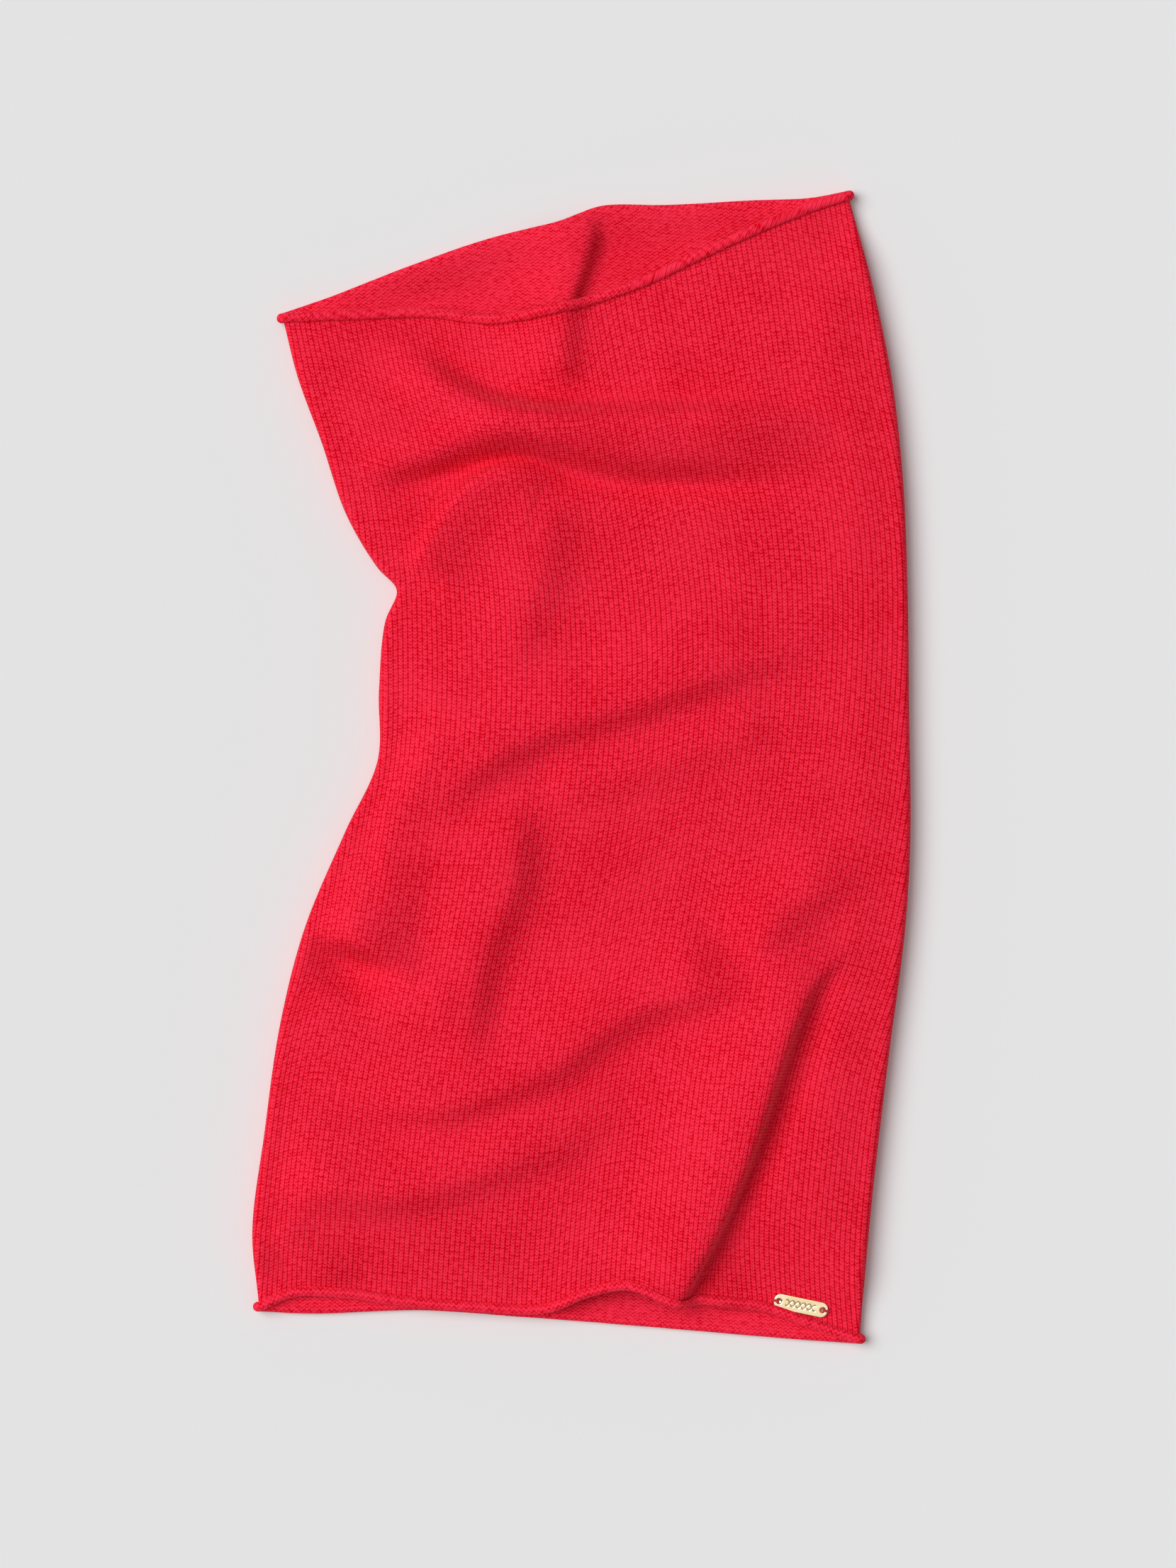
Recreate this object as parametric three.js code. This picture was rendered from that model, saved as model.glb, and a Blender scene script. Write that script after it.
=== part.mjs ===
// A knitted neck gaiter lying flat on its back: one wide stockinette tube, softly crumpled,
// with both edges rolling outward and a small metal plate sewn on beside the lower edge.
//
// Millimetres. x runs across the tube, y along it towards the top edge, z up from the surface
// that it lies on. The origin is under the middle of the laid piece.
//
// The tube is given as the parts it lies in: a front and a back panel, the two side folds
// between them and the rolled edges at both mouths. The space between the panels stays open.

import * as THREE from 'three';

// ---- driving dimensions -------------------------------------------------------------------

const LAID_WIDTH = 257.8; // overall, with the side folds
const LAID_LENGTH = 451.4; // overall, with the rolled edges
const FABRIC = 1.6; // thickness of the knitted cloth
const ROLL_DIAMETER = 4.0; // of the edges, which curl outward
const SIDE_FOLD_HEIGHT = 10.8; // of the tube where its panels meet at the sides
const TIP_HEIGHT = 5.2; // of the side folds where they run out at the mouths
const PANEL_HEIGHT = 13.6; // of the front panel's outer face between its folds
const JOIN_GAP = 0.3; // between neighbouring parts
const MOUTH_GAP = 0.6; // between the front and back edges where the mouths lie closed
const SEAT_GAP = 0.3; // between the plate and the cloth

const PLATE = {
  length: 21.5,
  width: 6.2,
  thickness: 1.0,
  corner: 2.8,
  bevel: 0.15,
  hole: 2.1,
  holeSpacing: 17.3,
  tilt: THREE.MathUtils.degToRad(9.4), // off the line of the edge
};
const PLATE_FROM_TIP = 26.25; // along the low front edge, from its right tip to the plate
const PLATE_MARGIN = 0.1; // from the edge's roll to the plate, as seen from above
const THREAD = 0.8; // diameter of the sewing thread, all strands together
const THREAD_CLEARANCE = 0.3; // from the thread to the metal

// ---- outlines, in hundredths of the laid width and length ---------------------------------
// The left side is bent in at the waist, where the upper part tucks under the lower one.

const LEFT_SIDE = [
  [-48.9, -46.7], [-49.9, -40.2], [-48.1, -31.8], [-45.7, -22.3], [-42.0, -14.0],
  [-35.9, -5.7], [-30.9, 0.6], [-30.7, 6.6], [-29.8, 12.5], [-28.0, 15.4],
  [-31.1, 17.5], [-35.7, 22.0], [-39.4, 28.2], [-43.1, 34.0], [-45.3, 39.0],
];
const RIGHT_SIDE = [
  [42.2, -49.5], [42.9, -44.8], [44.2, -36.8], [46.6, -25.1], [49.1, -14.0], [49.9, -6.0],
  [49.7, 5.1], [49.5, 14.9], [48.8, 24.8], [47.1, 33.7], [44.1, 42.0], [40.5, 49.6],
];
const TOP_FRONT_EDGE = [
  [-45.3, 39.0], [-34.5, 39.2], [-23.7, 39.4], [-12.9, 38.8], [-3.2, 39.7],
  [8.6, 41.8], [18.3, 44.4], [25.9, 46.4], [33.4, 48.2], [40.5, 49.6],
];
const TOP_BACK_EDGE = [
  [-45.3, 39.0], [-37.7, 40.5], [-26.9, 42.9], [-15.1, 45.3], [-4.3, 47.0],
  [2.7, 48.3], [12.9, 48.4], [25.9, 48.8], [34.5, 49.0], [40.5, 49.6],
];
const LOW_FRONT_EDGE = [
  [-48.9, -46.7], [-44.2, -45.5], [-37.7, -45.3], [-28.0, -46.1], [-15.1, -46.7],
  [-5.4, -46.8], [1.1, -45.3], [7.0, -44.5], [13.5, -45.8], [21.6, -46.2],
  [28.0, -46.7], [34.5, -48.0], [42.2, -49.5],
];
const LOW_BACK_EDGE = [
  [-48.9, -46.7], [-40.9, -46.9], [-24.8, -46.6], [-8.6, -47.2], [7.5, -47.9],
  [23.7, -48.7], [34.5, -49.2], [42.2, -49.5],
];

// ---- folds --------------------------------------------------------------------------------
// Each is a ridge, or a valley where its height is below zero, along a line in the same
// hundredths. `left` and `right` are its reach in mm on either side of the line, as walked.

const FRONT_FOLDS = [
  { // the fold across the yoke, steep on its upper side
    line: [[-28, 36.2], [-16, 31.4], [-8, 30.2], [4, 30.1], [19, 30.2], [32, 30.2], [44, 29.6]],
    height: 8, left: 5, right: 14,
  },
  { // the valley under it
    line: [[-32, 25.3], [-24, 26], [-17, 27.5], [-11, 28.2], [-4, 27.6], [3, 26.3], [14, 25.7],
      [26, 25.5], [39, 25.3]],
    height: -2.4, left: 6, right: 6,
  },
  { // the shoulder of the lower part, which rises out of the waist
    line: [[-27, 14.6], [-23.5, 17.2], [-19.4, 20.3], [-16, 22.4], [-11, 23.8], [-5, 23.3]],
    height: 7, left: 5, right: 20,
  },
  { // the full front of the waist
    line: [[-9, 22], [-9, 14.5], [-13, 6.5]],
    height: 3, left: 20, right: 10,
  },
  { // the ridge down the left side, over the side lobe
    line: [[-27, 8], [-27.5, 0], [-26.5, -7], [-25, -14.5]],
    height: 6, left: 20, right: 5,
  },
  { // the ridge that falls away to the middle
    line: [[-11.5, -2.5], [-12, -7.5], [-14, -12], [-17, -17], [-19, -22.5], [-19.5, -26]],
    height: 7, left: 9, right: 18,
  },
  { // the rim under the side lobe
    line: [[-41, -16.5], [-36, -17.6], [-30, -18.7], [-24.8, -18.7], [-20.5, -16.5], [-18, -14]],
    height: 5, left: 4, right: 16,
  },
  { // the pocket above that rim
    line: [[-41, -14.4], [-35.5, -15.8], [-29.5, -17.2], [-24.8, -17.2]],
    height: -2.4, left: 5, right: 4,
  },
  { // the upper slanting valley
    line: [[-22.6, -6.6], [-18.3, -3], [-13, -0.5], [-2, 2.3], [8.6, 4.2], [19.4, 6.3],
      [31, 8.8], [41, 11]],
    height: -2.4, left: 8, right: 9,
  },
  { // the lower slanting valley
    line: [[-31, -29.4], [-22.6, -30.3], [-13, -29], [-3.2, -26.6], [5.4, -23.2], [13, -20.8],
      [20.5, -20], [26, -17.7], [32.3, -13.4], [41, -10.6]],
    height: -2.4, left: 8, right: 9,
  },
  { // the lowest slanting valley
    line: [[-45, -38], [-32, -38.2], [-21.5, -37.2], [-11, -35], [0, -31.8], [8.6, -29.4]],
    height: -2, left: 9, right: 9,
  },
  { // the deep fold at the lower right, steep on its right side
    line: [[40, -13.4], [33.4, -17.4], [28.5, -22], [25.3, -27.5], [21.6, -33.7],
      [17.8, -39.2], [14, -43.5], [12.4, -46.3]],
    height: 10, left: 5, right: 24,
  },
];
const BACK_FOLDS = [
  { // inside the top mouth, steep on its right side
    line: [[0.2, 48.2], [-0.5, 45.7], [-2.7, 42.6], [-4.3, 40.2], [-4.6, 38]],
    height: 6, left: 6, right: 20,
  },
];
const FOLD_FADE = 0.16; // share of a fold's line over which it rises at each end
const LEAST_REACH = 6; // of a fold to either side, so that the facets can follow it
const FOLD_SAMPLES = 8; // places on a fold's line for each of its points

// ---- mouths -------------------------------------------------------------------------------
// The front edge rests on the back edge, but for a lift whose place is given as shares of the
// way across.

const TOP_MOUTH = { lift: 4.9, from: 0.54, to: 0.74, ramp: 0.3 };
const LOW_MOUTH = { lift: 4.9, from: 0.54, to: 0.71, ramp: 0.12 };
const TIP_SHARE = 0.1; // share of the way across over which the front edge leaves its tips
const MOUTH_BLEND = 26; // distance over which a panel comes down to its edge
const SIDE_BLEND = 22; // distance over which a panel comes down to its side folds
const BACK_EDGE_BLEND = 14; // distance over which the back panel rises onto its rolled edge
const BACK_ROLL_INSET = 12; // from the tips of the mouths to the ends of the back rolls

// ---- facets -------------------------------------------------------------------------------

const PANEL_COLUMNS = 24;
const PANEL_ROWS = 40;
const BACK_COLUMNS = 14;
const FOLD_ARC_STEPS = 6;
const ROLL_STEPS = 30;
const ROLL_SIDES = 8;
const END_SLANT = 1.3; // how much further the slanting ends of the panels stop short of the rolls
const CORNER_SEGMENTS = 6; // of the plate's corners and holes, in each arc
const THREAD_STEPS = 18;
const THREAD_SEGMENTS = 4;
const SEAT_SAMPLES = [8, 4]; // places along and across the plate where the cloth is felt for
const FAR_ABOVE = 1000; // a height that clears the whole piece

// ---- small helpers ------------------------------------------------------------------------

const { clamp, lerp } = THREE.MathUtils;
const smooth = (value) => {
  const q = clamp(value, 0, 1);
  return q * q * (3 - 2 * q);
};

function laidCurve(outline) {
  const points = outline.map(([x, y]) => (
    new THREE.Vector3((x * LAID_WIDTH) / 100, (y * LAID_LENGTH) / 100, 0)));
  return new THREE.CatmullRomCurve3(points, false, 'centripetal');
}

const leftSide = laidCurve(LEFT_SIDE);
const rightSide = laidCurve(RIGHT_SIDE);
const sideLength = Math.min(leftSide.getLength(), rightSide.getLength());

// A Coons patch between the two sides and a panel's own two edges.
function panelMap(lowEdge, topEdge) {
  const low = laidCurve(lowEdge);
  const top = laidCurve(topEdge);
  const corners = [low.getPoint(0), low.getPoint(1), top.getPoint(0), top.getPoint(1)];
  return (s, t) => {
    const left = leftSide.getPointAt(t);
    const right = rightSide.getPointAt(t);
    const across = left.clone().lerp(right, s);
    const along = low.getPointAt(s).lerp(top.getPointAt(s), t);
    const flat = corners[0].clone().lerp(corners[1], s)
      .lerp(corners[2].clone().lerp(corners[3], s), t);
    return { place: across.add(along).sub(flat), width: left.distanceTo(right) };
  };
}

const frontMap = panelMap(LOW_FRONT_EDGE, TOP_FRONT_EDGE);
const backMap = panelMap(LOW_BACK_EDGE, TOP_BACK_EDGE);

function foldShape(fold) {
  const line = laidCurve(fold.line);
  return { ...fold, points: line.getSpacedPoints(FOLD_SAMPLES * fold.line.length) };
}

const frontFolds = FRONT_FOLDS.map(foldShape);
const backFolds = BACK_FOLDS.map(foldShape);

// How much one fold adds to the height at a place: a bell across its line, fading at its ends.
function foldHeight(fold, place) {
  const { points } = fold;
  let nearest = Infinity;
  let share = 0;
  let side = 1;
  for (let i = 0; i + 1 < points.length; i += 1) {
    const step = points[i + 1].clone().sub(points[i]);
    const offset = place.clone().sub(points[i]);
    const along = clamp(offset.dot(step) / step.lengthSq(), 0, 1);
    const distance = offset.clone().addScaledVector(step, -along).length();
    if (distance < nearest) {
      nearest = distance;
      share = (i + along) / (points.length - 1);
      side = step.x * offset.y - step.y * offset.x;
    }
  }
  const reach = Math.max(side > 0 ? fold.left : fold.right, LEAST_REACH);
  const fade = smooth(share / FOLD_FADE) * smooth((1 - share) / FOLD_FADE);
  return fold.height * fade * Math.exp(-((nearest / reach) ** 2));
}

// ---- heights of the lying tube ------------------------------------------------------------

const endDistance = (t) => Math.min(t, 1 - t) * sideLength;
const sideFoldHeight = (t) => lerp(
  TIP_HEIGHT, SIDE_FOLD_HEIGHT, smooth(endDistance(t) / MOUTH_BLEND));

// Height of the underside of the front edge.
function mouthHeight(mouth, s) {
  const lift = smooth((s - mouth.from) / mouth.ramp + 1)
    * smooth((mouth.to - s) / mouth.ramp + 1);
  const closed = ROLL_DIAMETER + MOUTH_GAP;
  const tips = smooth(Math.min(s, 1 - s) / TIP_SHARE);
  return lerp(TIP_HEIGHT - FABRIC, closed + mouth.lift * lift, tips);
}

// Height of the front panel's outer face.
function frontHeight(place, s, t, fromSide) {
  let body = PANEL_HEIGHT;
  for (const fold of frontFolds) body += foldHeight(fold, place);
  const mouth = mouthHeight(t < 0.5 ? LOW_MOUTH : TOP_MOUTH, s) + FABRIC;
  const folded = lerp(mouth, body, smooth(endDistance(t) / MOUTH_BLEND));
  return lerp(sideFoldHeight(t), folded, smooth(fromSide / SIDE_BLEND));
}

// Height of the back panel's underside, which lies on the surface but for its folds and ends.
function backHeight(place, s, t, fromSide) {
  let lift = 0;
  for (const fold of backFolds) lift += foldHeight(fold, place);
  const onRoll = (ROLL_DIAMETER - FABRIC) * (1 - smooth(endDistance(t) / BACK_EDGE_BLEND));
  return (lift + onRoll) * smooth(fromSide / SIDE_BLEND);
}

function frontOuter(s, t) {
  const { place, width } = frontMap(s, t);
  const fromSide = Math.min(s, 1 - s) * width - sideFoldHeight(t) / 2;
  place.z = frontHeight(place, s, t, fromSide);
  return place;
}

function backOuter(s, t) {
  const { place, width } = backMap(s, t);
  const fromSide = Math.min(s, 1 - s) * width - sideFoldHeight(t) / 2;
  place.z = backHeight(place, s, t, fromSide);
  return place;
}

// ---- solids -------------------------------------------------------------------------------

// A closed sheet from its outer and inner faces, each a grid of points.
function sheetGeometry(outer, inner) {
  const rows = outer.length;
  const columns = outer[0].length;
  const positions = [...outer.flat(), ...inner.flat()].flatMap((p) => [p.x, p.y, p.z]);
  const at = (face, row, column) => (face * rows + row) * columns + column;
  const triangles = [];
  const quad = (a, b, c, d) => triangles.push(a, b, c, a, c, d);
  for (let r = 0; r + 1 < rows; r += 1) {
    for (let c = 0; c + 1 < columns; c += 1) {
      quad(at(0, r, c), at(0, r, c + 1), at(0, r + 1, c + 1), at(0, r + 1, c));
      quad(at(1, r, c), at(1, r + 1, c), at(1, r + 1, c + 1), at(1, r, c + 1));
    }
  }
  for (let c = 0; c + 1 < columns; c += 1) {
    quad(at(1, 0, c), at(1, 0, c + 1), at(0, 0, c + 1), at(0, 0, c));
    quad(at(0, rows - 1, c), at(0, rows - 1, c + 1), at(1, rows - 1, c + 1), at(1, rows - 1, c));
  }
  for (let r = 0; r + 1 < rows; r += 1) {
    quad(at(0, r, 0), at(0, r + 1, 0), at(1, r + 1, 0), at(1, r, 0));
    const last = columns - 1;
    quad(at(1, r, last), at(1, r + 1, last), at(0, r + 1, last), at(0, r, last));
  }
  const geometry = new THREE.BufferGeometry();
  geometry.setAttribute('position', new THREE.Float32BufferAttribute(positions, 3));
  geometry.setIndex(triangles);
  if (signedVolume(geometry) < 0) geometry.setIndex(triangles.reverse());
  geometry.computeVertexNormals();
  return geometry;
}

function signedVolume(geometry) {
  const { position } = geometry.attributes;
  const index = geometry.getIndex();
  const corner = (i) => new THREE.Vector3().fromBufferAttribute(position, index.getX(i));
  let volume = 0;
  for (let i = 0; i < index.count; i += 3) {
    volume += corner(i).dot(corner(i + 1).cross(corner(i + 2))) / 6;
  }
  return volume;
}

const spread = (steps, from, to) => (
  Array.from({ length: steps + 1 }, (_, i) => lerp(from, to, i / steps)));

// The edge rolls lie across the ends of the panels, so the panels stop short of them.
const endShare = (END_SLANT * (ROLL_DIAMETER / 2 + JOIN_GAP)) / sideLength;
const rowShares = spread(PANEL_ROWS, endShare, 1 - endShare);

function panelGeometry(map, outerFace, columns, thickness) {
  const outer = rowShares.map((t) => {
    const side = (sideFoldHeight(t) / 2 + JOIN_GAP / 2) / map(0.5, t).width;
    return spread(columns, side, 1 - side).map((s) => outerFace(s, t));
  });
  const inner = outer.map((row) => row.map((p) => p.clone().setZ(p.z + thickness)));
  return sheetGeometry(outer, inner);
}

// A side fold is a half tube, from the back panel round to the front panel.
function sideFoldGeometry(right) {
  const arc = (t, depth) => {
    const radius = sideFoldHeight(t) / 2;
    const end = Math.PI / 2 - JOIN_GAP / 2 / radius;
    return spread(FOLD_ARC_STEPS, -end, end).map((angle) => {
      const map = angle < 0 ? backMap : frontMap;
      const { width } = map(0.5, t);
      const inward = radius - (radius - depth) * Math.cos(angle);
      const share = inward / width;
      const { place } = map(right ? 1 - share : share, t);
      place.z = radius + (radius - depth) * Math.sin(angle);
      return place;
    });
  };
  return sheetGeometry(
    rowShares.map((t) => arc(t, 0)), rowShares.map((t) => arc(t, FABRIC)));
}

// A rolled edge is a round cord of curled cloth along the edge.
function rollGeometry(points) {
  const radius = ROLL_DIAMETER / 2;
  const section = new THREE.Shape(spread(ROLL_SIDES, 0, 2 * Math.PI).slice(0, -1)
    .map((angle) => new THREE.Vector2(radius * Math.cos(angle), radius * Math.sin(angle))));
  const extrudePath = new THREE.CatmullRomCurve3(points, false, 'centripetal');
  return new THREE.ExtrudeGeometry(section, {
    steps: ROLL_STEPS, bevelEnabled: false, extrudePath,
  });
}

function frontRollPoints(edge, mouth) {
  const curve = laidCurve(edge);
  return spread(ROLL_STEPS, 0, 1).map((s) => {
    const height = mouthHeight(mouth, s) + ROLL_DIAMETER / 2;
    return curve.getPointAt(s).setZ(height);
  });
}

function backRollPoints(edge) {
  const curve = laidCurve(edge);
  const inset = BACK_ROLL_INSET / curve.getLength();
  return spread(ROLL_STEPS, inset, 1 - inset).map((s) => {
    const place = curve.getPointAt(s);
    let lift = 0;
    for (const fold of backFolds) lift += foldHeight(fold, place);
    return place.setZ(ROLL_DIAMETER / 2 + lift);
  });
}

// ---- the plate and its stitches -----------------------------------------------------------

function plateGeometry() {
  const { length, width, corner, bevel, hole, holeSpacing, thickness } = PLATE;
  const x = length / 2 - bevel;
  const y = width / 2 - bevel;
  const outline = new THREE.Shape();
  outline.moveTo(corner - x, -y);
  outline.lineTo(x - corner, -y);
  outline.absarc(x - corner, corner - y, corner, -Math.PI / 2, 0);
  outline.lineTo(x, y - corner);
  outline.absarc(x - corner, y - corner, corner, 0, Math.PI / 2);
  outline.lineTo(corner - x, y);
  outline.absarc(corner - x, y - corner, corner, Math.PI / 2, Math.PI);
  outline.lineTo(-x, corner - y);
  outline.absarc(corner - x, corner - y, corner, Math.PI, (3 * Math.PI) / 2);
  for (const side of [-1, 1]) {
    const circle = new THREE.Path();
    circle.absarc((side * holeSpacing) / 2, 0, hole / 2 + bevel, 0, 2 * Math.PI, true);
    outline.holes.push(circle);
  }
  return new THREE.ExtrudeGeometry(outline, {
    depth: thickness - 2 * bevel,
    bevelThickness: bevel,
    bevelSize: bevel,
    bevelSegments: 1,
    curveSegments: CORNER_SEGMENTS,
  }).translate(0, 0, bevel);
}

// One stitch comes up through a hole, lies over the plate's end and goes down beyond it. Its
// feet are that far from the plate's middle.
const STITCH_FEET = [PLATE.holeSpacing / 2, PLATE.length / 2 + THREAD / 2 + THREAD_CLEARANCE];

function stitchGeometry(side, footDepths) {
  const rise = PLATE.thickness + THREAD / 2 + THREAD_CLEARANCE;
  const [inner, outer] = STITCH_FEET;
  const path = new THREE.CurvePath();
  const points = [
    [inner, -footDepths[0]], [inner, rise - THREAD], [inner + THREAD, rise],
    [outer - THREAD, rise], [outer, rise - THREAD], [outer, -footDepths[1]],
  ].map(([x, z]) => new THREE.Vector3(side * x, 0, z));
  path.add(new THREE.LineCurve3(points[0], points[1]));
  path.add(new THREE.QuadraticBezierCurve3(points[1],
    new THREE.Vector3(side * inner, 0, rise), points[2]));
  path.add(new THREE.LineCurve3(points[2], points[3]));
  path.add(new THREE.QuadraticBezierCurve3(points[3],
    new THREE.Vector3(side * outer, 0, rise), points[4]));
  path.add(new THREE.LineCurve3(points[4], points[5]));
  const section = new THREE.Shape().absarc(0, 0, THREAD / 2, 0, 2 * Math.PI);
  return new THREE.ExtrudeGeometry(section, {
    steps: THREAD_STEPS,
    bevelEnabled: false,
    extrudePath: path,
    curveSegments: THREAD_SEGMENTS,
  });
}

// Height of the highest of some faceted parts under one place.
function heightUnder(meshes, place) {
  const start = place.clone().setZ(FAR_ABOVE);
  const ray = new THREE.Raycaster(start, new THREE.Vector3(0, 0, -1));
  const hit = ray.intersectObjects(meshes)[0];
  return hit ? hit.point.z : 0;
}

// ---- materials ----------------------------------------------------------------------------

const knit = () => new THREE.MeshStandardMaterial({
  color: 0xe11d36, roughness: 0.95, metalness: 0, side: THREE.DoubleSide });
const gold = () => new THREE.MeshStandardMaterial({
  color: 0xe9cf83, roughness: 0.25, metalness: 1 });
const thread = () => new THREE.MeshStandardMaterial({
  color: 0xb5122a, roughness: 0.7, metalness: 0 });

// ---- the gaiter ---------------------------------------------------------------------------

const gaiter = new THREE.Group();
gaiter.name = 'neck_gaiter';

function add(name, geometry, material, parent = gaiter) {
  const mesh = new THREE.Mesh(geometry, material);
  mesh.name = name;
  parent.add(mesh);
  return mesh;
}

const frontPanel = add('front_panel', panelGeometry(
  frontMap, frontOuter, PANEL_COLUMNS, -FABRIC), knit());
add('back_panel', panelGeometry(
  backMap, backOuter, BACK_COLUMNS, FABRIC), knit());
add('left_side_fold', sideFoldGeometry(false), knit());
add('right_side_fold', sideFoldGeometry(true), knit());
add('top_front_roll', rollGeometry(frontRollPoints(TOP_FRONT_EDGE, TOP_MOUTH)), knit());
const lowFrontRoll = add(
  'low_front_roll', rollGeometry(frontRollPoints(LOW_FRONT_EDGE, LOW_MOUTH)), knit());
add('top_back_roll', rollGeometry(backRollPoints(TOP_BACK_EDGE)), knit());
add('low_back_roll', rollGeometry(backRollPoints(LOW_BACK_EDGE)), knit());

// The plate lies beside the low front roll, on the highest cloth under it, and each foot of a
// stitch ends on the highest cloth under that foot.
const lowEdge = laidCurve(LOW_FRONT_EDGE);
const edgeShare = 1 - PLATE_FROM_TIP / lowEdge.getLength();
const edgeLine = lowEdge.getTangentAt(edgeShare);
const edgeTurn = Math.atan2(edgeLine.y, edgeLine.x);
const plateTurn = edgeTurn + PLATE.tilt;
const fromEdge = ROLL_DIAMETER / 2 + PLATE_MARGIN + PLATE.width / 2;
const plateMiddle = new THREE.Vector3(-edgeLine.y, edgeLine.x, 0)
  .multiplyScalar(fromEdge).add(lowEdge.getPointAt(edgeShare));

function highestCloth(x, length, width) {
  const heights = [];
  for (const dx of spread(SEAT_SAMPLES[0], -length / 2, length / 2)) {
    for (const dy of spread(SEAT_SAMPLES[1], -width / 2, width / 2)) {
      const place = new THREE.Vector3(x + dx, dy, 0)
        .applyAxisAngle(new THREE.Vector3(0, 0, 1), plateTurn).add(plateMiddle);
      heights.push(heightUnder([frontPanel, lowFrontRoll], place));
    }
  }
  return Math.max(...heights);
}

const seatHeight = highestCloth(0, PLATE.length, PLATE.width) + SEAT_GAP;
const plateGroup = new THREE.Group();
plateGroup.position.copy(plateMiddle).setZ(seatHeight);
plateGroup.rotation.z = plateTurn;
gaiter.add(plateGroup);
add('name_plate', plateGeometry(), gold(), plateGroup);
for (const [name, side] of [['left_plate_stitch', -1], ['right_plate_stitch', 1]]) {
  const footDepths = STITCH_FEET.map((x) => (
    seatHeight - SEAT_GAP - highestCloth(side * x, THREAD, THREAD)));
  add(name, stitchGeometry(side, footDepths), thread(), plateGroup);
}

// The origin goes under the middle of the whole piece.
const overall = new THREE.Box3().setFromObject(gaiter);
const middle = overall.getCenter(new THREE.Vector3());
gaiter.position.set(-middle.x, -middle.y, -overall.min.z);

export default gaiter;
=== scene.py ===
"""Looks of a knitted neck gaiter that lies flat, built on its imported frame.

Millimetres inside the shape functions, metres in the meshes. x runs across the tube, y along it
towards the top edge, z up from the surface that it lies on. The tube is two pieces of cloth: the
front one wraps round both sides, and the back one lies under it. Both mouths roll outward.
"""

import math
from typing import NamedTuple

import bpy
import numpy as np
from bpy.props import FloatProperty, FloatVectorProperty, IntProperty, PointerProperty
from mathutils import Euler, Matrix, Vector, geometry


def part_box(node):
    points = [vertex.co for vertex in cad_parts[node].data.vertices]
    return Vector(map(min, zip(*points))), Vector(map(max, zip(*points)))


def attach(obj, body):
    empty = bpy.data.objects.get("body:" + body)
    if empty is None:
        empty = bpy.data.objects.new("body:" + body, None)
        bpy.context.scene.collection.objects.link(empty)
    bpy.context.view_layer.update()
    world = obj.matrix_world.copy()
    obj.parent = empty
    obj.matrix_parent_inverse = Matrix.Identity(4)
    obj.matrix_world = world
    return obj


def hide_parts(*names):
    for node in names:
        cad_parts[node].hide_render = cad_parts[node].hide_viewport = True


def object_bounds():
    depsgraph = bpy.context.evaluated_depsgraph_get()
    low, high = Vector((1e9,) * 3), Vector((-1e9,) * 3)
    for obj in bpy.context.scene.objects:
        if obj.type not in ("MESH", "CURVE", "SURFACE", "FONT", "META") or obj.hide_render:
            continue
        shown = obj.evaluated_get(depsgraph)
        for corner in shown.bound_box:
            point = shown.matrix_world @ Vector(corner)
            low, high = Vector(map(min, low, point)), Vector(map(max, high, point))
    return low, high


bl_info = {
    "name": "Neck gaiter",
    "version": (1, 0, 0),
    "blender": (4, 5, 0),
    "location": "3D View > Sidebar > Gaiter",
    "description": "Builds a rolled-edge knitted neck gaiter round its packed frame",
    "category": "Object",
}

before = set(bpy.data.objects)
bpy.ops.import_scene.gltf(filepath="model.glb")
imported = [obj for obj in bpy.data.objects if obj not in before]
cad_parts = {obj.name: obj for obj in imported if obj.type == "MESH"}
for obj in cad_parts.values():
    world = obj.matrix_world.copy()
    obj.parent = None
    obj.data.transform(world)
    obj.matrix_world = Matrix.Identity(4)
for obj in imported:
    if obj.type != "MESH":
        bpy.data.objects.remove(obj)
CAD_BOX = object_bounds()
MM = 0.001
FULL_TURN = 2 * math.pi

# ---- outlines, in hundredths of the laid width and length ----
# The left side is bent in at the waist.

LEFT_SIDE = [
    (-48.9, -46.7), (-49.9, -40.2), (-48.1, -31.8), (-45.7, -22.3), (-42.0, -14.0),
    (-35.9, -5.7), (-30.9, 0.6), (-30.7, 6.6), (-29.8, 12.5), (-28.0, 15.4),
    (-31.1, 17.5), (-35.7, 22.0), (-39.4, 28.2), (-43.1, 34.0), (-45.3, 39.0),
]
RIGHT_SIDE = [
    (42.2, -49.5), (42.9, -44.8), (44.2, -36.8), (46.6, -25.1), (49.1, -14.0), (49.9, -6.0),
    (49.7, 5.1), (49.5, 14.9), (48.8, 24.8), (47.1, 33.7), (44.1, 42.0), (40.5, 49.6),
]
TOP_FRONT_EDGE = [
    (-45.3, 39.0), (-34.5, 39.2), (-23.7, 39.4), (-12.9, 38.8), (-3.2, 39.7),
    (8.6, 41.8), (18.3, 44.4), (25.9, 46.4), (33.4, 48.2), (40.5, 49.6),
]
TOP_BACK_EDGE = [
    (-45.3, 39.0), (-37.7, 40.5), (-26.9, 42.9), (-15.1, 45.3), (-4.3, 47.0),
    (2.7, 48.3), (12.9, 48.4), (25.9, 48.8), (34.5, 49.0), (40.5, 49.6),
]
LOW_FRONT_EDGE = [
    (-48.9, -46.7), (-44.2, -45.5), (-37.7, -45.3), (-28.0, -46.1), (-15.1, -46.7),
    (-5.4, -46.8), (1.1, -45.3), (7.0, -44.5), (13.5, -45.8), (21.6, -46.2),
    (28.0, -46.7), (34.5, -48.0), (42.2, -49.5),
]
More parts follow.
